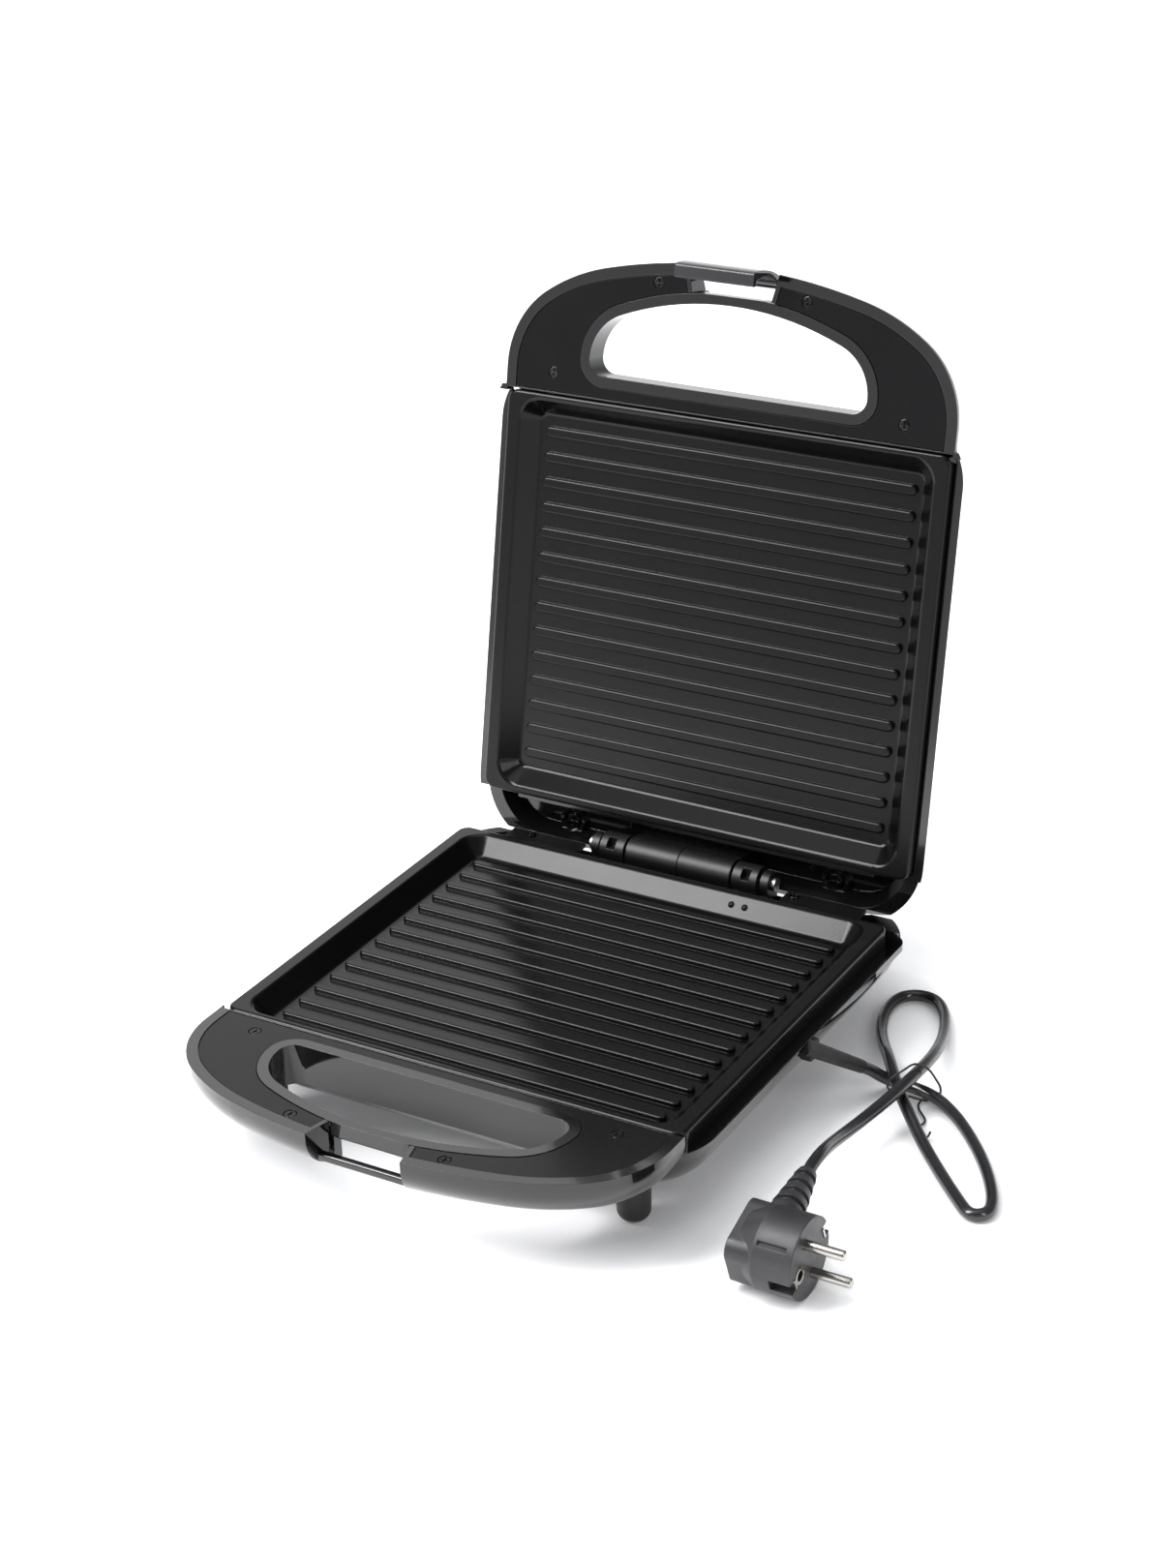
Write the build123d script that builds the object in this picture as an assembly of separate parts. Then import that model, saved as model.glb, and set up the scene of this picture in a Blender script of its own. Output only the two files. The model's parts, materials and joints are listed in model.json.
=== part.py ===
from build123d import *
import math
import os

os.makedirs("parts", exist_ok=True)

# Panini press, lid open. The halves are modelled closed, in a working frame whose origin is the
# middle of the lower grill plate's rear edge on the parting plane: X right, Y back, Z up.
# place() moves every finished piece to the part frame, which stands on Z = 0.

# ---- driving dimensions (mm, degrees) --------------------------------------------------------
PARTING_Z = 50.0            # height of the parting plane above the table
PLATE_REAR_Y = 97.895       # rear edge of the lower plate in the part frame

PLATE_WIDTH = 250.0
PLATE_DEPTH = 215.5
PLATE_CORNER = 6.0
PLATE_SKIRT = 9.4           # height of the plate's side edge
RECESS_HALF = 108.7         # half-width and ends of the recess at its floor
RECESS_Y = (-203.8, -13.0)
RECESS_DRAFT = 42.0         # lean of the recess walls
PLATE_FLOOR = 9.4           # recess floor below the rim
PLATE_WALL = 4.6
RIB_COUNT = 14
RIB_FIRST = -22.0           # rearmost rib
RIB_PITCH = 13.29
RIB_LENGTH = 210.8
RIB_WIDTH = 5.4
RIB_TOP = 7.0               # rib tops below the rim

HOUSING_WIDTH = 264.0
HOUSING_REAR = 31.5
HOUSING_DEPTH = 34.3        # parting plane to the flat of the shell
BELLY_FRONT = -232.0
BELLY_ROUND = 28.0
REAR_CORNER = 42.0
FRONT_CORNER = 36.0
SHELL_WALL = 2.6
SIDE_RIM = 9.5              # base side rims stand this far below the parting plane
WELL_DEPTH = 9.5            # the plate's skirt sits this deep in either half
EAR_Y = -217.5
EAR_THICKNESS = 3.0

HANDLE_FRONT = -292.0
HANDLE_ARCS = ((300.0, 13.9), (100.0, 21.1), (49.0, 55.0))   # radius, sweep
HANDLE_DEPTH = 21.0
HANDLE_ROUND = 17.0
LID_HANDLE_DEPTH = 14.4
LID_HANDLE_ROUND = 14.0
LID_HALF_WIDTH = 133.4      # of the lid's sloping sides, run out to the parting plane
LID_FRONT = -235.5
LID_REAR = 35.0
LID_SLOPE = 30.0
LID_DEPTH = 32.0
LID_ROUND = 20.0
LID_RIM = 5.0               # lid side rims above the parting plane
HANDLE_RIM = 5.6            # outer rim beside the trim
HOLE_FRONT = -272.5
HOLE_ARCS = ((165.0, 22.0), (25.9, 68.0), (8.0, 90.0))
HOLE_RIM = 5.4
TRIM_THICKNESS = 2.2
TRIM_GAP = 0.35
TRIM_DROP = 0.3
TRIM_REAR = -217.0

NOTCH_FRONT_HALF = 25.5
NOTCH_REAR_HALF = 22.0
NOTCH_REAR = -277.0
STRIP_DEPTH = 7.7
CATCH_Y = (-285.0, -281.0)
CATCH_Z = (-17.0, -13.0)

HINGE_Y = 16.0
HINGE_Z = -1.65
OPEN_ANGLE = 101.8          # lid angle from closed to its open stop
LID_GAP = 0.5               # space between the closed halves
REAR_SLOPE = 53.0           # slope of the rear rims below the parting plane
RECESS_DEPTH = 20.0         # floor of the hinge recess
BARREL_RADIUS = 8.0
HINGE_PIN_RADIUS = 2.0

LATCH_HALF = 21.8
LATCH_PIN = (-286.0, 8.5)   # y, z with the lid closed
LATCH_PIN_RADIUS = 1.5

CORD_DIAMETER = 6.0
TIE_RADIUS = 0.55

HALF_WIDTH = HOUSING_WIDTH / 2
FAR = 400.0


# ---- placing ---------------------------------------------------------------------------------
def place(shape):
    return Pos(0, PLATE_REAR_Y, PARTING_Z) * shape


def opened(shape):
    """Turn a piece modelled on the closed lid back to the open stop."""
    hinge = Axis((0, HINGE_Y, HINGE_Z), (1, 0, 0))
    return shape.rotate(hinge, -OPEN_ANGLE)


def lid_half(shape):
    """Turn a piece of the lower half over to make the lid's one, at the open stop."""
    return opened(Pos(0, 0, LID_GAP) * mirror(shape, about=Plane.XY))


def save(name, shapes):
    """Write one node; a list of shapes makes a group of separate solids."""
    if not isinstance(shapes, (list, tuple)):
        shapes = [shapes]
    solids = []
    for shape in shapes:
        solids += list(place(shape).solids())
    result = solids[0] if len(solids) == 1 else Compound(children=solids)
    export_step(result, f"parts/{name}.step")


# ---- small helpers ---------------------------------------------------------------------------
def block(x, y, z):
    """Box from its three (low, high) ranges."""
    size = [high - low for low, high in (x, y, z)]
    middle = [(high + low) / 2 for low, high in (x, y, z)]
    return Pos(*middle) * Box(*size)


def upright(x, y, z, radius):
    """Vertical cylinder from its place, (low, high) heights and radius."""
    return Pos(x, y, (z[0] + z[1]) / 2) * Cylinder(radius, z[1] - z[0])


def crosswise(x, y, z, radius):
    """Cylinder along X from its (low, high) range, place and radius."""
    return Pos((x[0] + x[1]) / 2, y, z) * Rot(0, 90, 0) * Cylinder(radius, x[1] - x[0])


def both_sides(shape):
    return [shape, mirror(shape, about=Plane.YZ)]


def yz_prism(points, half_width):
    """Prism across the object from its outline in Y and Z."""
    face = make_face(Polyline(*[(0, y, z) for y, z in points], close=True))
    return extrude(face, half_width, dir=(1, 0, 0), both=True)


def arc_face(front, arcs, grow, back=None):
    """Face bounded by tangent arcs run from the front centre to each side, then closed straight
    across. grow moves the arcs outwards; back is where the flanks stop."""
    edges = []
    start, heading = Vector(0, front - grow), Vector(1, 0)
    for radius, sweep in arcs:
        arc = JernArc(start=start, tangent=heading, radius=radius + grow, arc_size=sweep)
        edges.append(arc)
        start, heading = arc @ 1, arc % 1
    if back is not None:
        edges.append(Line(start, (start.X, back)))
        start = Vector(start.X, back)
    edges.append(Line(start, (0, start.Y)))
    edges += [mirror(edge, about=Plane.YZ) for edge in edges]
    return make_face(edges)


def handle_face(grow, back=-150.0):
    return arc_face(HANDLE_FRONT, HANDLE_ARCS, grow, back)


def hole_face(grow):
    return arc_face(HOLE_FRONT, HOLE_ARCS, grow)


def slab(face, z_low, z_high):
    return extrude(Pos(0, 0, z_low) * face, z_high - z_low, dir=(0, 0, 1))


def notch_prism(margin, rear=NOTCH_REAR):
    """Space of the latch notch, wider at the front, grown by margin at its slanted sides."""
    slope = (NOTCH_FRONT_HALF - NOTCH_REAR_HALF) / (NOTCH_REAR - HANDLE_FRONT)
    front = HANDLE_FRONT - 10
    wide = NOTCH_FRONT_HALF + 10 * slope + margin
    narrow = NOTCH_REAR_HALF + (NOTCH_REAR - rear) * slope + margin
    outline = Polyline((-wide, front), (wide, front), (narrow, rear), (-narrow, rear), close=True)
    return slab(make_face(outline), -60, 10)


# ---- the shell both halves share -------------------------------------------------------------
def belly(inset, front):
    """Pillow-shaped main body: straight walls that roll under to a flat."""
    half = HALF_WIDTH - inset
    rear = HOUSING_REAR - inset
    depth = HOUSING_DEPTH - inset
    body = block((-half, half), (front, rear), (-depth, 0))
    uprights = body.edges().filter_by(Axis.Z).sort_by(Axis.Y)
    body = fillet(uprights[:2], FRONT_CORNER - inset)
    uprights = body.edges().filter_by(Axis.Z).sort_by(Axis.Y)
    body = fillet(uprights[-2:], REAR_CORNER - inset)
    rim = body.faces().sort_by(Axis.Z)[0].edges()
    return fillet(rim, BELLY_ROUND - inset)


def dome(inset, front):
    """Main body of the lid: sides that slope in to a flat with a rounded edge."""
    thick = inset / math.cos(math.radians(LID_SLOPE))
    half = LID_HALF_WIDTH - thick
    outline = Polyline((-half, front), (half, front), (half, LID_REAR - thick),
                       (-half, LID_REAR - thick), close=True)
    face = make_face(outline)
    corners = face.vertices().sort_by(Axis.Y)
    face = fillet(corners[:2], FRONT_CORNER - inset)
    face = fillet(face.vertices().sort_by(Axis.Y)[-2:], REAR_CORNER - inset)
    body = extrude(face, LID_DEPTH - inset, dir=(0, 0, -1), taper=LID_SLOPE)
    return fillet(body.faces().sort_by(Axis.Z)[0].edges(), LID_ROUND - inset)


def handle_body(depth, rounding):
    body = slab(handle_face(0), -depth, 0)
    under = body.faces().sort_by(Axis.Z)[0].edges()
    rolled = [edge for edge in under if edge.center().Y < -160]
    return fillet(rolled, rounding)


def base_form():
    """Solid outside form of the base, with the ledge corners beside the plate's rear end."""
    form = handle_body(HANDLE_DEPTH, HANDLE_ROUND) + belly(0, BELLY_FRONT)
    lug_face = make_face(Polyline((90, -30), (HALF_WIDTH, -30), (HALF_WIDTH, 8), (90, 8), close=True))
    lug = slab(lug_face, -SIDE_RIM - 3.5, -SIDE_RIM)
    corner = [edge for edge in lug.edges().filter_by(Axis.Z)
              if edge.center().X > HALF_WIDTH - 1 and edge.center().Y > 7]
    lug = fillet(corner, 9)
    for side in both_sides(lug):
        form += side
    return form


def lid_form():
    return handle_body(LID_HANDLE_DEPTH, LID_HANDLE_ROUND) + dome(0, LID_FRONT)


def rear_slope_cut():
    """Space above the rear rims, so that the halves swing past each other."""
    drop = math.tan(math.radians(REAR_SLOPE))
    start = HINGE_Y + HINGE_Z / drop
    end = 60.0
    return yz_prism([(start, 0), (end, -(end - start) * drop), (end, 5), (start, 5)], FAR)


def half_shell(form, hollow_form, side_rim, handle_depth):
    """Housing of one half: hollow body, sunk side rims, handle with its hole, pocket and notch.
    hollow_form(inset) is the main body's form, moved inwards."""
    handle_top = slab(handle_face(0, EAR_Y), -side_rim, 5)
    form -= block((-FAR, FAR), (-300, EAR_Y), (-side_rim, 5)) - handle_top
    rim_half = PLATE_WIDTH / 2 + 0.6
    for low, high in ((rim_half, FAR), (-FAR, -rim_half)):
        form -= block((low, high), (EAR_Y + EAR_THICKNESS, 0.3), (-side_rim, 5))
    for low, high in ((COVER_X[1] + 0.6, FAR), (-FAR, -COVER_X[1] - 0.6)):
        form -= block((low, high), (0.2, 60), (-WELL_DEPTH, 5))
    for low, high in ((COVER_X[0] - 1, FAR), (-FAR, 1 - COVER_X[0])):
        form -= block((low, high), (COVER_REAR + 0.4, 60), (-WELL_DEPTH, 5))

    inner = hollow_form(SHELL_WALL)
    well = block((-rim_half, rim_half), (-216.3, 0.3), (-WELL_DEPTH, 5))
    throat = block((-121.5, 121.5), (-213, -2.5), (-14, 5)) & (hollow_form(1.8) + well)
    room = inner & block((-FAR, FAR), (-214, -1.8), (-60, -12.5))
    rear_room = inner & block((-FAR, FAR), (-30, 60), (-60, -RECESS_DEPTH - 2.5))
    recess = hollow_form(SHELL_WALL + 3.4) & block((-FAR, FAR), (2.3, 60), (-RECESS_DEPTH, 5))
    low_wall = block((-118, 118), (0, 2.5), (-3, 5))
    for space in (well, throat, room, rear_room, recess, low_wall, rear_slope_cut()):
        form -= space

    form -= slab(hole_face(0), -60, 5)
    form -= slab(trim_face(0), -TRIM_DROP - TRIM_THICKNESS, 5) - notch_prism(2.4)
    hollow = handle_face(-HANDLE_RIM - 2.5) & make_face(
        Polyline((-FAR, -300), (FAR, -300), (FAR, -219.5), (-FAR, -219.5), close=True))
    hollow = hollow - hole_face(HOLE_RIM)
    pocket_depth = handle_depth - 6
    form -= slab(hollow, -pocket_depth, 5) - notch_prism(5)
    for x, y in TRIM_SCREWS:
        form += upright(x, y, (-pocket_depth - 0.5, -TRIM_DROP - TRIM_THICKNESS), 3.4)
        form -= upright(x, y, (-pocket_depth, 0), 1.6)
    form -= notch_prism(0)
    form -= block((-20, 20), (NOTCH_REAR - 0.5, HOLE_FRONT + 3), (-60, -STRIP_DEPTH))
    return form


def trim_face(shrink):
    """Outline of the flat handle cover: round the hole, open at the latch notch."""
    rear = TRIM_REAR - shrink
    zone = make_face(Polyline((-FAR, -300), (FAR, -300), (FAR, rear), (-FAR, rear), close=True))
    return (handle_face(-HANDLE_RIM - shrink) & zone) - hole_face(HOLE_RIM + shrink)


def handle_trim():
    panel = slab(trim_face(TRIM_GAP), -TRIM_DROP - TRIM_THICKNESS, -TRIM_DROP)
    panel -= notch_prism(2.4 + TRIM_GAP)
    for x, y in TRIM_SCREWS:
        panel -= upright(x, y, (-TRIM_DROP - TRIM_THICKNESS, 0), 1.7)
        panel -= upright(x, y, (-TRIM_DROP - 1.3, 0), SCREW_HEAD_RADIUS + 0.15)
    return panel


# ---- fasteners -------------------------------------------------------------------------------
SCREW_HEAD_RADIUS = 3.0
TRIM_SCREWS = [(side * x, y) for x, y in ((41.3, -279.4), (98.6, -227.0)) for side in (-1, 1)]


def screw(x, y, head_top, length, head_radius=SCREW_HEAD_RADIUS, shank=1.6):
    """Pan-head cross-recess screw, head up."""
    head = upright(x, y, (head_top - 1.2, head_top), head_radius)
    head = fillet(head.faces().sort_by(Axis.Z)[-1].edges(), 0.5)
    body = head + upright(x, y, (head_top - length, head_top - 1.2), shank)
    for angle in (0, 90):
        slot = Rot(0, 0, angle) * Box(head_radius * 1.25, 0.75, 1.4)
        body -= Pos(x, y, head_top) * slot
    return body


def trim_screws():
    return [screw(x, y, -TRIM_DROP - 0.1, 7.5) for x, y in TRIM_SCREWS]


# ---- grill plate and what lies behind it -----------------------------------------------------
PLATE_SCREWS = [(side * 92, y) for side in (-1, 1) for y in (-190.0, -28.0)]
PAN_HALF = 108.0
PAN_FRONT = -209.0
PAN_REAR = -6.0
PAN_TOP = -14.5
PAN_BOTTOM = -25.0
PAN_SHEET = 0.8
ELEMENT_CAP_RADIUS = 3.9


def rounded_block(x, y, z, radius):
    body = block(x, y, z)
    return fillet(body.edges().filter_by(Axis.Z), radius)


def drafted_recess():
    """Cooking recess: leaning walls and a rounded foot, open above."""
    face = make_face(Polyline((-RECESS_HALF, RECESS_Y[0]), (RECESS_HALF, RECESS_Y[0]),
                              (RECESS_HALF, RECESS_Y[1]), (-RECESS_HALF, RECESS_Y[1]), close=True))
    face = fillet(face.vertices(), 4)
    space = extrude(Pos(0, 0, -PLATE_FLOOR) * face, PLATE_FLOOR + 1, dir=(0, 0, 1), taper=-RECESS_DRAFT)
    return fillet(space.faces().sort_by(Axis.Z)[0].edges(), 2.5)


def grill_plate():
    half = PLATE_WIDTH / 2
    plate = rounded_block((-half, half), (-PLATE_DEPTH, 0), (-PLATE_SKIRT, 0), PLATE_CORNER)
    plate = fillet(plate.faces().sort_by(Axis.Z)[-1].edges(), 1.6)
    under = PLATE_FLOOR + PLATE_WALL
    plate += rounded_block((-RECESS_HALF - 6.5, RECESS_HALF + 6.5), (RECESS_Y[0] - 6.5, RECESS_Y[1] + 6.5),
                           (-under, -2), 8)
    plate -= drafted_recess()
    lip = plate.faces().sort_by(Axis.Z)[-1].inner_wires()[0].edges()
    plate = fillet(lip, 2.2)
    for index in range(RIB_COUNT):
        rib_y = RIB_FIRST - index * RIB_PITCH
        rib = slab(Pos(0, rib_y) * SlotOverall(RIB_LENGTH, RIB_WIDTH), -PLATE_FLOOR - 0.5, -RIB_TOP)
        plate += fillet(rib.faces().sort_by(Axis.Z)[-1].edges(), 1.0)
    for x, y in PLATE_SCREWS:
        plate += upright(x, y, (PAN_BOTTOM + PAN_SHEET, -under + 0.5), 4.5)
        plate -= upright(x, y, (PAN_BOTTOM, -under), 1.6)
    return plate


def lower_plate():
    """The lower plate has two small pips on the rear wall of its recess."""
    plate = grill_plate()
    for x in (40.9, 48.5):
        plate += Pos(x, -7.9, -5.1) * Sphere(1.9)
    return plate


def reflector_pan():
    pan = rounded_block((-PAN_HALF, PAN_HALF), (PAN_FRONT, PAN_REAR), (PAN_BOTTOM, PAN_TOP), 8)
    t = PAN_SHEET
    pan -= rounded_block((-PAN_HALF + t, PAN_HALF - t), (PAN_FRONT + t, PAN_REAR - t),
                         (PAN_BOTTOM + t, 0), 7.2)
    for x, y in PLATE_SCREWS:
        pan -= upright(x, y, (PAN_BOTTOM - 1, PAN_BOTTOM + 1), 1.7)
    return pan


def plate_screws():
    """Screws driven upwards through the pan into the plate's bosses."""
    flip = [mirror(screw(x, y, -PAN_BOTTOM + 1.2, 9.2), about=Plane.XY) for x, y in PLATE_SCREWS]
    return flip


def heating_element():
    """Sheathed tube in one loop against the plate's underside."""
    z = -PLATE_FLOOR - PLATE_WALL - ELEMENT_CAP_RADIUS
    route = [(-34, -16, z), (-34, -46, z), (-72, -46, z), (-72, -170, z),
             (72, -170, z), (72, -46, z), (34, -46, z), (34, -16, z)]
    path = FilletPolyline(*route, radius=14)
    tube = sweep(Plane(path @ 0, z_dir=path % 0) * Circle(3.4), path=path)
    for x in (-34, 34):
        tube += Pos(x, -14, z) * Rot(90, 0, 0) * Cylinder(ELEMENT_CAP_RADIUS, 8)
    return tube


def thermostat():
    top = -PLATE_FLOOR - PLATE_WALL
    can = upright(0, -108, (top - 6, top), 8.5)
    blades = block((-12, 12), (-110, -106), (top - 8, top - 6))
    return can + blades


def thermal_fuse():
    z = -PLATE_FLOOR - PLATE_WALL - 3.1
    body = crosswise((-12, 12), -70, z, 3)
    return body + crosswise((-22, 22), -70, z, 0.8)


# ---- base ------------------------------------------------------------------------------------
KNUCKLE_X = (32.0, 46.0)
TAB_X = (47.5, 52.0)
FEET = [(side * x, y) for x, y in ((100.0, -217.0), (92.0, 6.0)) for side in (-1, 1)]
GLAND_Y = -101.5
GLAND_Z = -15.0
COVER_SCREWS = [(-91.0, 13.5), (65.5, 13.5)]
COVER_TOP = -5.0
COVER_X = (60.0, 104.0)
COVER_REAR = 18.0


def knuckle(x, radius, foot_width):
    """Hinge knuckle on a post that stands on the recess floor."""
    post = block(x, (HINGE_Y - foot_width / 2, HINGE_Y + foot_width / 2), (-RECESS_DEPTH - 0.5, HINGE_Z))
    return post + crosswise(x, HINGE_Y, HINGE_Z, radius)


def base_housing():
    body = half_shell(base_form(), lambda inset: belly(inset, BELLY_FRONT + inset), SIDE_RIM,
                      HANDLE_DEPTH)
    relief = block((KNUCKLE_X[0] + 5, KNUCKLE_X[1] - 4), (0, HINGE_Y - 3), (HINGE_Z + 2.5, 20))
    for side in both_sides(knuckle(KNUCKLE_X, BARREL_RADIUS, 13) - relief):
        body += side
    for side in both_sides(knuckle(TAB_X, BARREL_RADIUS - 1.5, 10)):
        body += side
    body -= crosswise((-60, 60), HINGE_Y, HINGE_Z, HINGE_PIN_RADIUS)
    body -= gland_block(0)
    for x, y in FEET:
        body -= upright(x, y, (-PARTING_Z, -HOUSING_DEPTH + 7), 1.9)
    return body


def gland_block(grow):
    return block((125, HALF_WIDTH + 1.8), (GLAND_Y - 4.8 - grow, GLAND_Y + 4.8 + grow),
                 (GLAND_Z - 4.6 - grow, GLAND_Z + 4.6 + grow))


def foot(x, y):
    """Round-ended rubber foot that fits the shell's underside."""
    cone = Pos(x, y, 0) * extrude(Pos(0, 0, -PARTING_Z) * Circle(7.8), 34, taper=-1.5)
    cone = fillet(cone.faces().sort_by(Axis.Z)[0].edges(), 5.6)
    cone -= base_form()
    stem = upright(x, y, (-PARTING_Z + 6, -HOUSING_DEPTH + 7), 1.9)
    lowest = cone.solids().sort_by(Axis.Z)[0]
    return lowest + stem


def hinge_covers():
    """Two panels beside the hinge that close the base's rear recess."""
    covers = []
    for low, high in ((-COVER_X[1], -COVER_X[0]), COVER_X):
        panel = block((low, high), (2.8, COVER_REAR), (COVER_TOP - 2, COVER_TOP))
        legs = [block((x - 2, x + 2), (4, 12), (-RECESS_DEPTH, COVER_TOP - 2)) for x in (low + 5, high - 5)]
        covers.append(panel + legs[0] + legs[1])
    for index, (x, y) in enumerate(COVER_SCREWS):
        covers[index] += upright(x, y, (-RECESS_DEPTH, COVER_TOP - 2), 3.4)
        covers[index] -= upright(x, y, (-RECESS_DEPTH - 1, COVER_TOP + 1), 1.5)
    return covers


def hinge_cover_screws():
    return [screw(x, y, COVER_TOP + 1.2, 12, head_radius=2.6, shank=1.5) for x, y in COVER_SCREWS]


def hinge_pin():
    pin = crosswise((-53.5, 53.5), HINGE_Y, HINGE_Z, HINGE_PIN_RADIUS)
    heads = [crosswise(x, HINGE_Y, HINGE_Z, 3.6) for x in ((-54.5, -52.2), (52.2, 54.5))]
    return pin + heads[0] + heads[1]


def front_bar():
    """Round-edged bar across the notch, low at the front; the latch hooks under it."""
    bar = block((-NOTCH_FRONT_HALF, NOTCH_FRONT_HALF), CATCH_Y, CATCH_Z)
    return fillet(bar.edges().filter_by(Axis.X), 1.2) & notch_prism(0)


def terminal_block():
    body = block((28, 58), (-5, 5), (-31.5, -24.5))
    for x in (33, 43, 53):
        body -= upright(x, 0, (-27, -24), 2)
    return body


def corner_radii(points):
    """Largest tangent arc at each corner: 0.45 of the shorter run over the tangent of half the turn."""
    radii = []
    for before, here, after in zip(points, points[1:], points[2:]):
        run_in, run_out = here - before, after - here
        turn = math.radians(run_in.get_angle(run_out))
        shorter = min(run_in.length, run_out.length)
        radii.append(0.45 * shorter / math.tan(turn / 2))
    return radii


def inner_wire(points, radius):
    route = [Vector(*point) for point in points]
    bends = [min(6, bend) for bend in corner_radii(route)]
    path = FilletPolyline(*route, radius=bends)
    return sweep(Plane(path @ 0, z_dir=path % 0) * Circle(radius), path=path)


def base_wires():
    """Live and neutral wires along the side channel to the terminal block."""
    live = inner_wire([(123.5, GLAND_Y + 2, GLAND_Z), (118.8, GLAND_Y + 6, GLAND_Z - 2),
                       (118.8, -60, GLAND_Z - 6), (117.1, -12, -26.2), (58.5, 2, -28)], 1.0)
    neutral = inner_wire([(123.5, GLAND_Y - 2, GLAND_Z), (118.8, GLAND_Y + 2, GLAND_Z - 7),
                          (118.8, -60, GLAND_Z - 10), (112, -12, -28.6), (58.5, -2, -28)], 1.0)
    return [live, neutral]


# ---- lid pieces, modelled on the closed lid --------------------------------------------------
LID_BOSSES = [(-78.0, 13.5), (78.0, 13.5)]
LENSES = [(-12.0, -40.0), (12.0, -40.0)]
LAMP_WIRE_Z = -27.2


def lid_housing():
    """The lid's shell in lower-half form, before it is turned over."""
    body = half_shell(lid_form(), lambda inset: dome(inset, LID_FRONT + inset), LID_RIM,
                      LID_HANDLE_DEPTH)
    for x, y in LID_BOSSES:
        body += upright(x, y, (-RECESS_DEPTH - 0.5, -RECESS_DEPTH + 3), 7.5)
        body -= upright(x, y, (-RECESS_DEPTH + 0.6, -RECESS_DEPTH + 4), 5.6)
        body -= upright(x, y, (-RECESS_DEPTH - 3, -RECESS_DEPTH + 1), 1.6)
    for x, y in LENSES:
        body -= upright(x, y, (-LID_DEPTH - 1, -LID_DEPTH + 4), 4)
    body -= crosswise((-28, 28), LATCH_PIN[0], LID_GAP - LATCH_PIN[1], LATCH_PIN_RADIUS)
    body = Pos(0, 0, LID_GAP) * mirror(body, about=Plane.XY)
    for low, high in ((-30.5, -0.25), (0.25, 30.5)):
        body += crosswise((low, high), HINGE_Y, HINGE_Z, BARREL_RADIUS)
        body += block((low, high), (HINGE_Y - BARREL_RADIUS, HINGE_Y + 5), (HINGE_Z, RECESS_DEPTH + 1))
    body -= crosswise((-31, 31), HINGE_Y, HINGE_Z, HINGE_PIN_RADIUS + 0.06)
    return opened(body)


def lid_boss_screws():
    return [screw(x, y, -RECESS_DEPTH + 2, 4.6, head_radius=3.8) for x, y in LID_BOSSES]


def indicator_lens(x, y):
    lens = upright(x, y, (-LID_DEPTH - 0.9, -LID_DEPTH + 2.6), 3.9)
    return fillet(lens.faces().sort_by(Axis.Z)[0].edges(), 1.2)


def neon_lamp(x, y):
    return upright(x, y, (-LID_DEPTH + 2.8, -LID_DEPTH + 6.6), 2.6)


def lamp_wires():
    wires = []
    for x, y in LENSES:
        side = math.copysign(1, x)
        wires.append(inner_wire([(x + side * 2.8, y, LAMP_WIRE_Z), (x + side * 14, y, LAMP_WIRE_Z),
                                 (x + side * 22, -12, LAMP_WIRE_Z), (x + side * 30, 6, LAMP_WIRE_Z)], 0.9))
    return wires


def latch():
    """Hooked clip: a curved thumb plate on a pivot barrel, its lip turned in at the tip."""
    pin_y, pin_z = LATCH_PIN
    outside = ThreePointArc((-287.6, 12.2), (-292.4, -2.0), (-293.0, -17.6))
    tip = Polyline(outside @ 1, (-292.6, -20.0), (-291.8, -20.6), (-286.3, -20.6), (-285.7, -20.0),
                   (-285.7, -17.7), (-288.4, -17.3))
    inside = ThreePointArc((-288.4, -17.3), (-289.6, -4.0), (-286.6, 5.6))
    root = Polyline((-286.6, 5.6), (-285.2, 12.2), (-287.6, 12.2))
    profile = Plane.YZ * make_face(Curve() + [outside, tip, inside, root])
    body = extrude(profile, LATCH_HALF, both=True)
    body += crosswise((-LATCH_HALF, LATCH_HALF), pin_y, pin_z, 3.4)
    body -= crosswise((-FAR, FAR), pin_y, pin_z, LATCH_PIN_RADIUS + 0.06)
    return body


def latch_pin():
    return crosswise((-27.5, 27.5), LATCH_PIN[0], LATCH_PIN[1], LATCH_PIN_RADIUS)


# ---- mains lead ------------------------------------------------------------------------------
FLOOR_Z = -PARTING_Z
LEAD_Z = FLOOR_Z + CORD_DIAMETER / 2
BOOT_START = Vector(HALF_WIDTH + 1.8, GLAND_Y, GLAND_Z)
BOOT_END = Vector(147.0, -77.5, -33.5)
PLUG_FACE = Vector(196.5, -234.0, -30.8)
PLUG_TILT = 19.0
PLUG_RADIUS = 19.0
PIN_SPACING = 19.0
PIN_RADIUS = 2.4
EARTH_SOCKET = 9.8          # from the middle of the face, away from the lead
EARTH_RING = (4.2, 2.5)     # outer and inner radius of its sleeve
RELIEF_AXIS = Vector(-0.12, 0.97, 0.12).normalized()

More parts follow.
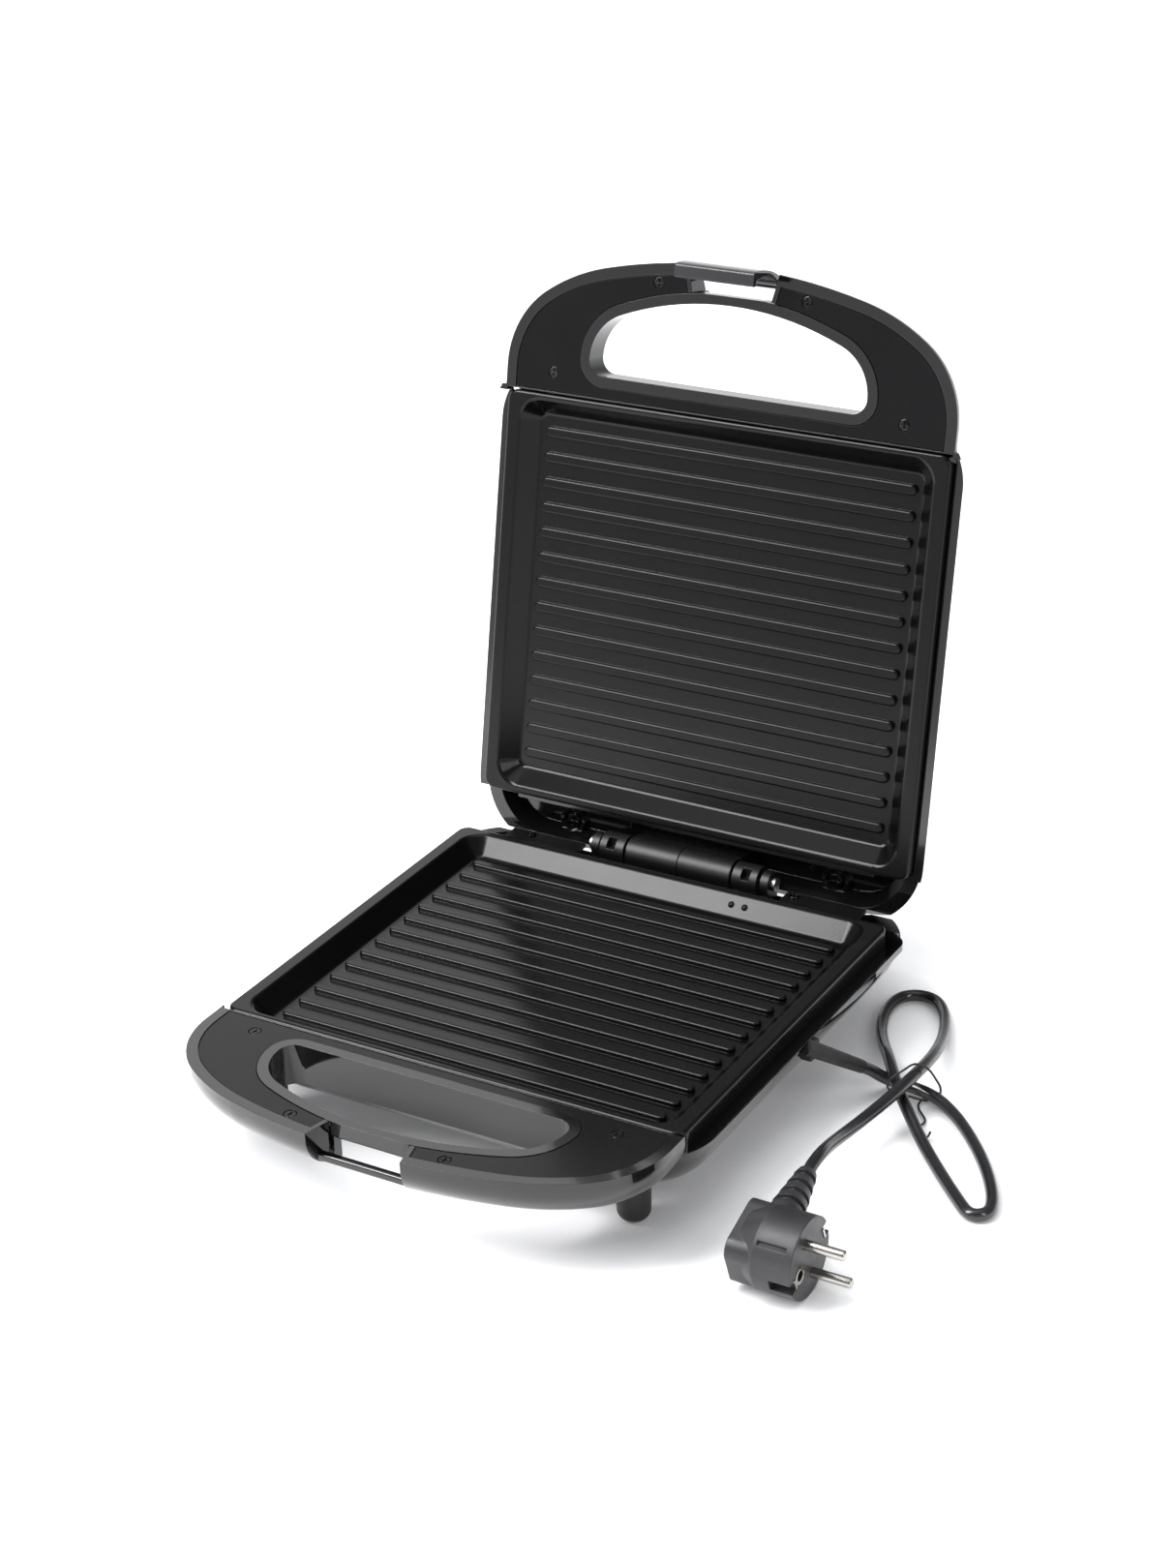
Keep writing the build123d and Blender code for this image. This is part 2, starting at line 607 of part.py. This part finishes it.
# Centre line of the free lead between its two end runs, heights above the table.
LEAD_POINTS = [
    (152.7, -69.0, 8.3), (160.0, -66.3, 4.9), (171.0, -66.5, 4.9), (183.0, -69.5, 4.6),
    (196.0, -77.5, 3.2), (209.0, -90.5, 3.0), (222.0, -106.0, 3.0), (233.5, -123.0, 3.0),
    (240.5, -137.0, 3.0), (241.8, -146.5, 3.0), (234.8, -151.0, 3.0), (224.0, -140.5, 3.0),
    (208.5, -124.5, 3.0), (192.0, -107.5, 4.5), (177.0, -91.5, 9.0), (163.5, -75.0, 11.4),
    (151.5, -56.5, 11.4), (139.5, -37.5, 6.0), (130.5, -20.5, 3.0), (125.2, -5.0, 3.0),
    (125.0, 10.0, 3.0), (130.9, 17.0, 3.0), (139.8, 18.6, 3.0), (147.7, 14.0, 3.0),
    (156.5, 0.0, 3.5), (165.0, -23.0, 7.0), (171.5, -50.0, 13.5), (173.0, -77.0, 17.4),
    (171.0, -98.0, 17.0), (166.5, -119.0, 15.0), (166.3, -139.0, 18.5), (168.5, -156.0, 24.0),
    (171.3, -171.0, 29.0)]
END_RUN = 6.5


def plug_axes():
    """Pin direction, pin-to-pin direction and cable direction of the plug where it lies."""
    tilt = math.radians(PLUG_TILT)
    pins = Vector(1, 0, 0)
    across = Vector(0, math.sin(tilt), -math.cos(tilt))
    cable = Vector(0, math.cos(tilt), math.sin(tilt))
    return pins, across, cable


def plug_relief_ends():
    pins, across, cable = plug_axes()
    start = PLUG_FACE - pins * 20 + cable * 14
    return start, start + RELIEF_AXIS * 34


def lead_points():
    """Route of the lead in the working frame; it leaves boot and plug straight."""
    relief_start, relief_tip = plug_relief_ends()
    leaving = (BOOT_END - BOOT_START).normalized() * END_RUN
    arriving = (relief_tip - relief_start).normalized() * END_RUN
    middle = [Vector(x, y, FLOOR_Z + height) for x, y, height in LEAD_POINTS]
    return [BOOT_END, BOOT_END + leaving] + middle + [relief_tip + arriving, relief_tip]


def power_cord():
    points = lead_points()
    radii = corner_radii(points)
    path = FilletPolyline(*points, radius=radii)
    tube = sweep(Plane(path @ 0, z_dir=path % 0) * Circle(CORD_DIAMETER / 2), path=path)
    volume = math.pi * (CORD_DIAMETER / 2) ** 2 * path.length
    print("lead corner radii", [round(radius, 1) for radius in radii])
    print("lead length", round(path.length, 1), "volume ratio", round(tube.volume / volume, 4))
    return tube


def spun(start, end, stations):
    """Turned piece between two points; stations are (distance, radius) along the way."""
    axis = (end - start).normalized()
    outline = [(0, stations[0][0])] + [(radius, along) for along, radius in stations]
    outline += [(0, stations[-1][0])]
    face = make_face(Plane.XZ * Polyline(*outline, close=True))
    turned = revolve(face, Axis.Z)
    return Plane(origin=start, z_dir=axis) * turned


def cord_gland():
    """Square gland in the side wall with a tapered boot that leads the cord down."""
    body = gland_block(0)
    body = fillet(body.edges().filter_by(Axis.X), 1.5)
    length = (BOOT_END - BOOT_START).length
    axis = (BOOT_END - BOOT_START).normalized()
    start = BOOT_START - axis * 6
    boot = spun(start, BOOT_END, [(0, 4.1), (6, 4.0), (6 + length, 3.3)])
    cut = block((HALF_WIDTH - 20, HALF_WIDTH + 0.2), (GLAND_Y - 20, GLAND_Y + 20),
                (GLAND_Z - 20, GLAND_Z + 20))
    return body + (boot - cut)


def plug_body():
    """Angled plug: round face with a flat-sided body behind it and a ribbed relief."""
    pins, across, cable = plug_axes()
    face_plane = Plane(origin=PLUG_FACE, x_dir=cable, z_dir=pins * -1)
    drum = extrude(face_plane * Circle(PLUG_RADIUS), 19)
    waist = face_plane * (Pos(0, 0, 0) * Rectangle(33, 27))
    block_body = extrude(waist, 32)
    block_body = fillet(block_body.edges().filter_by(Axis(PLUG_FACE, pins)), 7)
    body = drum + block_body
    grip_plane = face_plane.offset(19)
    body = body + extrude(grip_plane * Circle(PLUG_RADIUS), 9, taper=24)
    start, tip = plug_relief_ends()
    length = (tip - start).length
    ribs = [(-12, 9.0), (4, 8.6)]
    for index in range(4):
        along = 7 + index * 7.0
        radius = 8.0 - index * 0.9
        ribs += [(along, radius), (along, radius - 1.6), (along + 2.4, radius - 1.8), (along + 2.4, radius)]
    ribs += [(length, 4.4)]
    body += spun(start, tip, ribs)
    for sign in (-1, 1):
        centre = PLUG_FACE + cable * (sign * (PLUG_RADIUS - 1.5)) - pins * 5
        groove = Plane(origin=centre, x_dir=cable, z_dir=pins) * Box(7, 6, 11)
        body -= groove
        hole = Plane(origin=PLUG_FACE + across * (sign * PIN_SPACING / 2), z_dir=pins)
        body -= hole * Pos(0, 0, -4) * Cylinder(PIN_RADIUS, 8.001)
        body -= face_plane * Pos(-10.2, sign * 16.2, 10.5) * Box(2, 2, 14)
    socket = Plane(origin=PLUG_FACE - cable * EARTH_SOCKET, z_dir=pins)
    body -= socket * Pos(0, 0, -4) * Cylinder(EARTH_RING[0], 8.001)
    table = block((-FAR, FAR), (-FAR, FAR), (FLOOR_Z - 60, FLOOR_Z + 0.2))
    return body - table


def plug_pins():
    pins, across, cable = plug_axes()
    result = []
    for sign in (-1, 1):
        base = Plane(origin=PLUG_FACE + across * (sign * PIN_SPACING / 2), z_dir=pins)
        pin = base * Pos(0, 0, 5.5) * Cylinder(PIN_RADIUS, 27)
        result.append(fillet(pin.faces().sort_by(Axis.X)[-1].edges(), 1.1))
    return result


def plug_earth_contacts():
    """Spring strips in the two edge grooves and the sleeve of the earth socket in the face."""
    pins, across, cable = plug_axes()
    sleeve = Plane(origin=PLUG_FACE - cable * EARTH_SOCKET - pins * 3.8, z_dir=pins)
    outer, inner = EARTH_RING
    strips = [sleeve * (Cylinder(outer, 8) - Cylinder(inner, 9))]
    for sign in (-1, 1):
        centre = PLUG_FACE + cable * (sign * (PLUG_RADIUS - 4.4)) - pins * 5
        strips.append(Plane(origin=centre, x_dir=cable, z_dir=pins) * Box(1.2, 5.4, 11))
    return strips


def twist_tie():
    """Wire tie looped round the three strands where they cross, its tail under the middle one."""
    ring_plane = Plane(origin=(169, -74, FLOOR_Z), x_dir=(0.821, 0.571, 0), z_dir=(0.571, -0.821, 0))
    stations = [(4.5, 21.6), (9.6, 19.0), (14.2, 12.0), (16.4, 6.0), (14.9, 2.0), (10.3, 0.9),
                (0.0, 4.3), (-7.6, 7.4), (-9.4, 11.4), (-6.6, 15.4), (-0.5, 19.6)]
    ring_path = ring_plane * Spline(*stations, periodic=True)
    ring = sweep(Plane(ring_path @ 0, z_dir=ring_path % 0) * Circle(TIE_RADIUS), path=ring_path)
    tail_path = Spline((175.0, -68.6, FLOOR_Z + 1.1), (177.5, -78, FLOOR_Z + 0.9),
                       (184.0, -86.5, FLOOR_Z + 0.9), (183.5, -95, FLOOR_Z + 0.9),
                       (190.5, -99.5, FLOOR_Z + 1.5), (191.5, -96.5, FLOOR_Z + 3.5))
    tail = sweep(Plane(tail_path @ 0, z_dir=tail_path % 0) * Circle(TIE_RADIUS), path=tail_path)
    return ring + tail


# ---- write the nodes -------------------------------------------------------------------------
def main():
    save("base_housing", base_housing())
    save("base_handle_trim", handle_trim())
    save("base_trim_screws", trim_screws())
    save("lower_grill_plate", lower_plate())
    save("lower_plate_screws", plate_screws())
    save("lower_heating_element", heating_element())
    save("lower_reflector_pan", reflector_pan())
    save("lower_thermostat", thermostat())
    save("thermal_fuse", thermal_fuse())
    save("terminal_block", terminal_block())
    save("base_wires", base_wires())
    save("hinge_covers", hinge_covers())
    save("hinge_cover_screws", hinge_cover_screws())
    save("hinge_pin", hinge_pin())
    save("latch_catch_bar", front_bar())
    save("feet", [foot(x, y) for x, y in FEET])

    save("lid_housing", lid_housing())
    save("lid_handle_trim", lid_half(handle_trim()))
    save("lid_trim_screws", [lid_half(piece) for piece in trim_screws()])
    save("upper_grill_plate", lid_half(grill_plate()))
    save("upper_plate_screws", [lid_half(piece) for piece in plate_screws()])
    save("upper_heating_element", lid_half(heating_element()))
    save("upper_reflector_pan", lid_half(reflector_pan()))
    save("upper_thermostat", lid_half(thermostat()))
    save("lid_boss_screws", [lid_half(piece) for piece in lid_boss_screws()])
    save("indicator_lenses", [lid_half(indicator_lens(x, y)) for x, y in LENSES])
    save("neon_lamps", [lid_half(neon_lamp(x, y)) for x, y in LENSES])
    save("lamp_wires", [lid_half(piece) for piece in lamp_wires()])

    save("latch", opened(latch()))
    save("latch_pin", opened(latch_pin()))

    save("cord_gland", cord_gland())
    save("power_cord", power_cord())
    save("plug_body", plug_body())
    save("plug_pins", plug_pins())
    save("plug_earth_contacts", plug_earth_contacts())
    save("twist_tie", twist_tie())


main()
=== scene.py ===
import json
import math

import bpy
from mathutils import Matrix, Vector


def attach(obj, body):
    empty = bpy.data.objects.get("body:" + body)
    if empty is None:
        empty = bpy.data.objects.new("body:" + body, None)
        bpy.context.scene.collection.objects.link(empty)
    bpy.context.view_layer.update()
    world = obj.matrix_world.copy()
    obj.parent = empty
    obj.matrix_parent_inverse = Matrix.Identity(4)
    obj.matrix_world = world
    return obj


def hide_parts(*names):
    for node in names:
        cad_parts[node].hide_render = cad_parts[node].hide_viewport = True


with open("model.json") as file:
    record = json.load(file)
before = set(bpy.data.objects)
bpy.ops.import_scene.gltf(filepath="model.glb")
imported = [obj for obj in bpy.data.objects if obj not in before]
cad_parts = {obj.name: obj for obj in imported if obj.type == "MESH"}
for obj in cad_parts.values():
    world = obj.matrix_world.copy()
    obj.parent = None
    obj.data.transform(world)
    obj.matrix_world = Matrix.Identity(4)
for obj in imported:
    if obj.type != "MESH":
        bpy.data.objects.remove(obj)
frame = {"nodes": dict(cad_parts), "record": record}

nodes = frame["nodes"]
joints = {joint["name"]: joint["pos_m"] for joint in frame["record"]["behaviour"]["joints"]}
scene = bpy.context.scene
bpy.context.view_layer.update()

# The model was laid out in a working frame that starts at the middle of the lower plate's rear
# edge, on the parting plane. shift() takes a point from there, in millimetres, to the row frame.
PLATE_REAR_Y = 97.895
PARTING_Z = 50.0


def shift(x, y, z):
    return Vector((x, y + PLATE_REAR_Y, z + PARTING_Z)) / 1000


# ---- camera ----------------------------------------------------------------------------------
CAMERA_PLACE = shift(673.6, -1195.6, 722.1)
CAMERA_LOOK = Vector((-0.4638, 0.7698, -0.4385)).normalized()
CAMERA_ROLL = math.radians(-2.177)

level_right = CAMERA_LOOK.cross(Vector((0, 0, 1))).normalized()
level_up = level_right.cross(CAMERA_LOOK)
right = level_right * math.cos(CAMERA_ROLL) + level_up * math.sin(CAMERA_ROLL)
up = level_up * math.cos(CAMERA_ROLL) - level_right * math.sin(CAMERA_ROLL)
camera_data = bpy.data.cameras.new("camera")
camera_data.lens = 68.97
camera_data.sensor_width = 36
camera_data.clip_end = 50
camera = bpy.data.objects.new("camera", camera_data)
scene.collection.objects.link(camera)
turn = Matrix((right, up, -CAMERA_LOOK)).transposed().to_4x4()
camera.matrix_world = Matrix.Translation(CAMERA_PLACE) @ turn
scene.camera = camera


# ---- materials -------------------------------------------------------------------------------
def new_material(name):
    material = bpy.data.materials.new(name)
    material.use_nodes = True
    return material, material.node_tree.nodes, material.node_tree.links


def noise(node_list, link_list, scale, detail=2.0):
    """Noise in the object's own metres."""
    place = node_list.new("ShaderNodeTexCoord")
    texture = node_list.new("ShaderNodeTexNoise")
    texture.inputs["Scale"].default_value = scale
    texture.inputs["Detail"].default_value = detail
    link_list.new(place.outputs["Object"], texture.inputs["Vector"])
    return texture.outputs["Fac"]


def spread(node_list, link_list, value, low, high, start=0.3, end=0.7):
    """Number that runs from low to high as the value goes from start to end."""
    ranged = node_list.new("ShaderNodeMapRange")
    ranged.inputs["From Min"].default_value = start
    ranged.inputs["From Max"].default_value = end
    ranged.inputs["To Min"].default_value = low
    ranged.inputs["To Max"].default_value = high
    link_list.new(value, ranged.inputs["Value"])
    return ranged.outputs["Result"]


def tint(node_list, link_list, value, first, last, start=0.35, end=0.65):
    """Colour that runs from first to last as the value goes from start to end."""
    ramp = node_list.new("ShaderNodeValToRGB")
    ramp.color_ramp.elements[0].position = start
    ramp.color_ramp.elements[1].position = end
    ramp.color_ramp.elements[0].color = (*first, 1)
    ramp.color_ramp.elements[1].color = (*last, 1)
    link_list.new(value, ramp.inputs["Fac"])
    return ramp.outputs["Color"]


def finish_normals(node_list, link_list, shader, height, strength, distance, edge):
    """Fine grain in the bump; edge is the radius in metres that edges are lit with, 0 for none."""
    bump = node_list.new("ShaderNodeBump")
    bump.inputs["Strength"].default_value = strength
    bump.inputs["Distance"].default_value = distance
    link_list.new(height, bump.inputs["Height"])
    if edge:
        rounded = node_list.new("ShaderNodeBevel")
        rounded.samples = 4
        rounded.inputs["Radius"].default_value = edge
        link_list.new(rounded.outputs["Normal"], bump.inputs["Normal"])
    link_list.new(bump.outputs["Normal"], shader.inputs["Normal"])


def moulded(name, dark, light, rough, grain, grain_height, specular=0.5, coat=0.0, metallic=0.0,
            cloud=14.0, edge=0.0005):
    """Moulded or cast surface: cloudy colour, slightly uneven gloss and a fine grain in the bump."""
    material, node_list, link_list = new_material(name)
    shader = node_list["Principled BSDF"]
    shader.inputs["Specular IOR Level"].default_value = specular
    shader.inputs["Coat Weight"].default_value = coat
    shader.inputs["Coat Roughness"].default_value = 0.04
    shader.inputs["Metallic"].default_value = metallic
    clouds = noise(node_list, link_list, cloud, 4.0)
    link_list.new(tint(node_list, link_list, clouds, dark, light), shader.inputs["Base Color"])
    smears = noise(node_list, link_list, cloud * 2.7, 5.0)
    link_list.new(spread(node_list, link_list, smears, *rough), shader.inputs["Roughness"])
    fine = noise(node_list, link_list, grain)
    finish_normals(node_list, link_list, shader, fine, strength=0.6, distance=grain_height, edge=edge)
    return material


def nonstick_coating(name):
    """Sprayed non-stick coat: near black with tiny grey flecks and an orange-peel skin."""
    material, node_list, link_list = new_material(name)
    shader = node_list["Principled BSDF"]
    shader.inputs["Specular IOR Level"].default_value = 0.20
    shader.inputs["Coat Weight"].default_value = 0.05
    shader.inputs["Coat Roughness"].default_value = 0.10
    place = node_list.new("ShaderNodeTexCoord")
    flecks = node_list.new("ShaderNodeTexVoronoi")
    flecks.inputs["Scale"].default_value = 900
    link_list.new(place.outputs["Object"], flecks.inputs["Vector"])
    fleck_colour = tint(node_list, link_list, flecks.outputs["Distance"], first=(0.022, 0.022, 0.024),
                        last=(0.0030, 0.0030, 0.0034), start=0.05, end=0.11)
    link_list.new(fleck_colour, shader.inputs["Base Color"])
    patches = noise(node_list, link_list, 30, 5.0)
    link_list.new(spread(node_list, link_list, patches, low=0.17, high=0.22), shader.inputs["Roughness"])
    skin = noise(node_list, link_list, 1400, 3.0)
    finish_normals(node_list, link_list, shader, skin, strength=0.4, distance=0.00008, edge=0.0006)
    return material


def clear_lens(name, colour):
    material, node_list, link_list = new_material(name)
    shader = node_list["Principled BSDF"]
    shader.inputs["Transmission Weight"].default_value = 0.7
    shader.inputs["IOR"].default_value = 1.49
    clouds = noise(node_list, link_list, 120, 3.0)
    light = tuple(min(1.0, channel * 1.25) for channel in colour)
    link_list.new(tint(node_list, link_list, clouds, colour, light), shader.inputs["Base Color"])
    link_list.new(spread(node_list, link_list, clouds, 0.04, 0.12), shader.inputs["Roughness"])
    return material


LOOKS = {
    "gloss_black": moulded("gloss_black_abs", (0.003, 0.003, 0.0034), (0.0045, 0.0045, 0.005), (0.08, 0.11),
                           420, 0.00001, specular=0.4, coat=0.5),
    "satin_black": moulded("satin_black_abs", (0.0032, 0.0032, 0.0036), (0.005, 0.005, 0.0055),
                           (0.15, 0.18), 2600, 0.00002, specular=0.18),
    "dark_screw": moulded("blackened_steel", (0.014, 0.014, 0.015), (0.05, 0.05, 0.05), (0.16, 0.30), 1500,
                          0.00004, metallic=1.0, cloud=260, edge=0.0003),
    "nonstick": nonstick_coating("nonstick_coating"),
    "steel": moulded("plain_steel", (0.42, 0.42, 0.42), (0.58, 0.58, 0.57), (0.22, 0.38), 1500,
                     0.00003, metallic=1.0, cloud=90),
    "element_steel": moulded("heated_steel", (0.22, 0.19, 0.16), (0.38, 0.36, 0.34), (0.35, 0.55), 900,
                             0.00006, metallic=1.0, cloud=60),
    "pan_steel": moulded("aluminised_sheet", (0.55, 0.55, 0.56), (0.72, 0.72, 0.73), (0.28, 0.45), 1200,
                         0.00003, metallic=1.0, cloud=40),
    "ceramic": moulded("steatite", (0.62, 0.60, 0.54), (0.78, 0.76, 0.70), (0.35, 0.5), 900, 0.00005,
                       cloud=120),
    "white_plastic": moulded("ivory_nylon", (0.68, 0.67, 0.62), (0.78, 0.77, 0.73), (0.4, 0.55), 1400,
                             0.00004, cloud=90),
    "wire_jacket": moulded("silicone_sleeve", (0.30, 0.05, 0.03), (0.42, 0.08, 0.05), (0.4, 0.55), 900,
                           0.00006, cloud=110),
    "foot_rubber": moulded("foot_rubber", (0.008, 0.008, 0.008), (0.014, 0.014, 0.014), (0.42, 0.6), 1300,
                           0.00008),
    "soft_black": moulded("boot_rubber", (0.006, 0.006, 0.006), (0.011, 0.011, 0.011), (0.5, 0.66), 1600,
                          0.00008, cloud=70),
    "cord_jacket": moulded("pvc_jacket", (0.010, 0.010, 0.011), (0.018, 0.018, 0.020), (0.18, 0.26), 700,
                           0.00003, specular=0.6, cloud=60, edge=0),
    "plug_black": moulded("plug_pvc", (0.018, 0.018, 0.020), (0.030, 0.030, 0.033), (0.36, 0.48), 1500,
                          0.00007, cloud=60, edge=0.0009),
    "nickel": moulded("nickel_plate", (0.42, 0.40, 0.37), (0.50, 0.48, 0.45), (0.16, 0.24), 900,
                      0.000004, metallic=1.0, cloud=60, edge=0),
    "tie_black": moulded("tie_plastic", (0.008, 0.008, 0.008), (0.015, 0.015, 0.015), (0.25, 0.4), 1800,
                         0.00004, cloud=200),
    "lens_red": clear_lens("indicator_red", (0.45, 0.02, 0.015)),
    "lamp_glass": clear_lens("lamp_glass", (0.8, 0.55, 0.4)),
    "latch_grey": moulded("smoked_gloss", (0.010, 0.010, 0.012), (0.020, 0.020, 0.023), (0.08, 0.13), 500,
                          0.00002, coat=0.6, edge=0.0008),
}


def over_step(node_list, link_list, value, step, inside, outside):
    """A number that changes from inside to outside as the value passes the step, in metres."""
    blur = 0.0002
    return spread(node_list, link_list, value, inside, outside, step - blur, step + blur)


BARREL_REACH = 0.0098  # from the hinge's axis to just past its barrels


def soften_hinge(material):
    """Take the polish off the housings round the hinge's axis, where the barrels are left satin."""
    node_list, link_list = material.node_tree.nodes, material.node_tree.links
    shader = node_list["Principled BSDF"]
    axis = Vector(joints["lid_hinge"])
    place = node_list.new("ShaderNodeTexCoord")
    across = node_list.new("ShaderNodeVectorMath")
    across.operation = "MULTIPLY"
    across.inputs[1].default_value = (0, 1, 1)
    link_list.new(place.outputs["Object"], across.inputs[0])
    distance = node_list.new("ShaderNodeVectorMath")
    distance.operation = "DISTANCE"
    distance.inputs[1].default_value = (0, axis.y, axis.z)
    link_list.new(across.outputs["Vector"], distance.inputs[0])
    reach = distance.outputs["Value"]
    full_coat = shader.inputs["Coat Weight"].default_value
    link_list.new(over_step(node_list, link_list, reach, BARREL_REACH, 0.0, full_coat),
                  shader.inputs["Coat Weight"])
    grain = shader.inputs["Roughness"].links[0].from_socket
    matt = over_step(node_list, link_list, reach, BARREL_REACH, 0.30, 0.0)
    total = node_list.new("ShaderNodeMath")
    total.operation = "ADD"
    link_list.new(grain, total.inputs[0])
    link_list.new(matt, total.inputs[1])
    link_list.new(total.outputs["Value"], shader.inputs["Roughness"])


soften_hinge(LOOKS["gloss_black"])

for subpart in frame["record"]["subparts"]:
    piece = nodes[subpart["node"]]
    piece.data.materials.clear()
    piece.data.materials.append(LOOKS[subpart["material_slot"]])


# ---- mains lead ------------------------------------------------------------------------------
BOOT_START = Vector((133.8, -101.5, -15.0))
BOOT_END = Vector((147.0, -77.5, -33.5))
PLUG_FACE = Vector((196.5, -234.0, -30.8))
PLUG_TILT = math.radians(19.0)
PINS = Vector((1, 0, 0))
CABLE = Vector((0, math.cos(PLUG_TILT), math.sin(PLUG_TILT)))
RELIEF_BACK = 20  # from the plug's face back to the middle of its relief
RELIEF_SIDE = 14  # from the plug's middle out to where the relief starts
RELIEF_LENGTH = 34
RELIEF_START = PLUG_FACE - PINS * RELIEF_BACK + CABLE * RELIEF_SIDE
RELIEF_AXIS = Vector((-0.12, 0.97, 0.12)).normalized()
RELIEF_TIP = RELIEF_START + RELIEF_AXIS * RELIEF_LENGTH
END_RUN = 6.5
CORD_DIAMETER = 0.006

# Heights above the table, as in the solid.
LEAD_POINTS = [
    (152.7, -69.0, 8.3), (160.0, -66.3, 4.9), (171.0, -66.5, 4.9), (183.0, -69.5, 4.6),
    (196.0, -77.5, 3.2), (209.0, -90.5, 3.0), (222.0, -106.0, 3.0), (233.5, -123.0, 3.0),
    (240.5, -137.0, 3.0), (241.8, -146.5, 3.0), (234.8, -151.0, 3.0), (224.0, -140.5, 3.0),
    (208.5, -124.5, 3.0), (192.0, -107.5, 4.5), (177.0, -91.5, 9.0), (163.5, -75.0, 11.4),
    (151.5, -56.5, 11.4), (139.5, -37.5, 6.0), (130.5, -20.5, 3.0), (125.2, -5.0, 3.0),
    (125.0, 10.0, 3.0), (130.9, 17.0, 3.0), (139.8, 18.6, 3.0), (147.7, 14.0, 3.0),
    (156.5, 0.0, 3.5), (165.0, -23.0, 7.0), (171.5, -50.0, 13.5), (173.0, -77.0, 17.4),
    (171.0, -98.0, 17.0), (166.5, -119.0, 15.0), (166.3, -139.0, 18.5), (168.5, -156.0, 24.0),
    (171.3, -171.0, 29.0)]


def smooth_curve(name, points, radius, material):
    """Round cord along a quadratic NURBS line with the given control points."""
    curve = bpy.data.curves.new(name, "CURVE")
    curve.dimensions = "3D"
    curve.resolution_u = 12
    curve.bevel_depth = radius
    curve.bevel_resolution = 7
    curve.use_fill_caps = True
    spline = curve.splines.new("NURBS")
    spline.points.add(len(points) - 1)
    for place, point in zip(spline.points, points):
        place.co = (*point, 1)
    spline.order_u = 3
    spline.use_endpoint_u = True
    curve.materials.append(material)
    piece = bpy.data.objects.new(name, curve)
    scene.collection.objects.link(piece)
    return piece


boot_run = BOOT_END + (BOOT_END - BOOT_START).normalized() * END_RUN
relief_run = RELIEF_TIP + RELIEF_AXIS * END_RUN
route = [shift(*BOOT_END), shift(*boot_run)]
route += [shift(x, y, height - PARTING_Z) for x, y, height in LEAD_POINTS]
route += [shift(*relief_run), shift(*RELIEF_TIP)]
lead = smooth_curve("mains_lead", route, CORD_DIAMETER / 2, LOOKS["cord_jacket"])
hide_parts("power_cord")
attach(lead, "base")


# ---- floor and light -------------------------------------------------------------------------
def area_light(name, place, aim, size, power):
    data = bpy.data.lights.new(name, "AREA")
    data.shape = "RECTANGLE"
    data.size, data.size_y = size
    data.energy = power
    lamp = bpy.data.objects.new(name, data)
    lamp.location = place
    lamp.rotation_euler = (Vector(aim) - Vector(place)).to_track_quat("-Z", "Y").to_euler()
    scene.collection.objects.link(lamp)


REACH = 14  # half the floor's side
FLOOR_DROP = 0.0005  # keeps the floor clear of the feet and the lead
floor_mesh = bpy.data.meshes.new("floor")
floor_mesh.from_pydata([(-REACH, -REACH, 0), (REACH, -REACH, 0), (REACH, REACH, 0), (-REACH, REACH, 0)],
                       [], [(0, 1, 2, 3)])
floor = bpy.data.objects.new("floor", floor_mesh)
floor.location.z = -FLOOR_DROP
scene.collection.objects.link(floor)
floor_material, floor_nodes, floor_links = new_material("pale_floor")
floor_shader = floor_nodes["Principled BSDF"]
floor_shader.inputs["Base Color"].default_value = (0.80, 0.80, 0.81, 1)
floor_shader.inputs["Roughness"].default_value = 0.9
floor_shader.inputs["Specular IOR Level"].default_value = 0.1
floor_shader.inputs["Emission Color"].default_value = (0.98, 0.985, 1.0, 1)
# Ambient occlusion dims the floor's glow near the press and the lead: a painted contact shadow on the
# floor.
painted_contact_shadow = floor_nodes.new("ShaderNodeAmbientOcclusion")
painted_contact_shadow.samples = 12
painted_contact_shadow.inputs["Distance"].default_value = 0.07
glow_with_painted_shadow = floor_nodes.new("ShaderNodeMapRange")
glow_with_painted_shadow.inputs["From Min"].default_value = 0.35
glow_with_painted_shadow.inputs["To Min"].default_value = 0.10
glow_with_painted_shadow.inputs["To Max"].default_value = 0.80
floor_links.new(painted_contact_shadow.outputs["AO"], glow_with_painted_shadow.inputs["Value"])
floor_links.new(glow_with_painted_shadow.outputs["Result"], floor_shader.inputs["Emission Strength"])
floor_mesh.materials.append(floor_material)

# The sheet on the floor glows a little, less where the press and the lead crowd it, which paints a soft
# contact shadow under and round them; the studio fades upwards from a pale backdrop to a dim ceiling, so
# that glossy black keeps its depth and only the softboxes show in it.
world = bpy.data.worlds.new("studio")
world.use_nodes = True
sky_nodes, sky_links = world.node_tree.nodes, world.node_tree.links
sky_place = sky_nodes.new("ShaderNodeTexCoord")
sky_axes = sky_nodes.new("ShaderNodeSeparateXYZ")
sky_links.new(sky_place.outputs["Generated"], sky_axes.inputs["Vector"])
sky_colour = tint(sky_nodes, sky_links, sky_axes.outputs["Z"], first=(0.92, 0.93, 0.94),
                  last=(0.21, 0.215, 0.22), start=0.06, end=0.36)
sky_links.new(sky_colour, sky_nodes["Background"].inputs["Color"])
scene.world = world
area_light("key", place=(-0.80, -0.85, 1.30), aim=(0, 0, 0.1), size=(0.5, 1.5), power=46)
area_light("left_panel", place=(-1.25, 1.25, 1.0), aim=(-0.07, 0, 0.04), size=(1.0, 0.9), power=3.4)
area_light("right_strip", place=(1.5, -0.5, 0.9), aim=(0, 0, 0.15), size=(0.25, 1.2), power=7)
area_light("sky_panel", place=(-0.3, 0.1, 2.6), aim=(0, 0.05, 0.1), size=(2.6, 2.2), power=20)
scene.view_settings.view_transform = "Standard"
